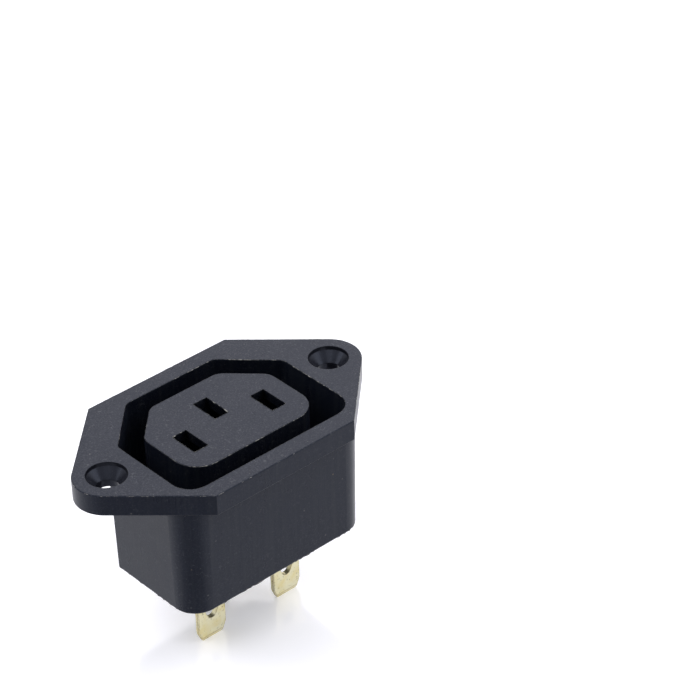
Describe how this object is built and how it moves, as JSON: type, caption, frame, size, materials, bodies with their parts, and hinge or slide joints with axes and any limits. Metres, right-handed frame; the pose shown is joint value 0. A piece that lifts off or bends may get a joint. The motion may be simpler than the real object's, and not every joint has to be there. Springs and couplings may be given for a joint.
{
  "type": "appliance power outlet",
  "caption": "Panel mounting power outlet with a flanged moulded housing, a ring shaped plug cavity and flat blade contacts with solder tabs.",
  "frame": {"origin": "midway between the two screw holes, in the flange face that lies on the panel", "axes": "+Z out of the socket face, against the plug's way in; +X along the flange through both screw holes; +Y towards the earth contact"},
  "size_m": [0.0496, 0.0278, 0.0332],
  "materials": {
    "housing": "black moulded thermoplastic, satin",
    "contact": "tin plated brass strip, bright"
  },
  "bodies": {
    "root": {"housing": "housing", "line_contact": "contact", "neutral_contact": "contact", "earth_contact": "contact"}
  },
  "joints": []
}
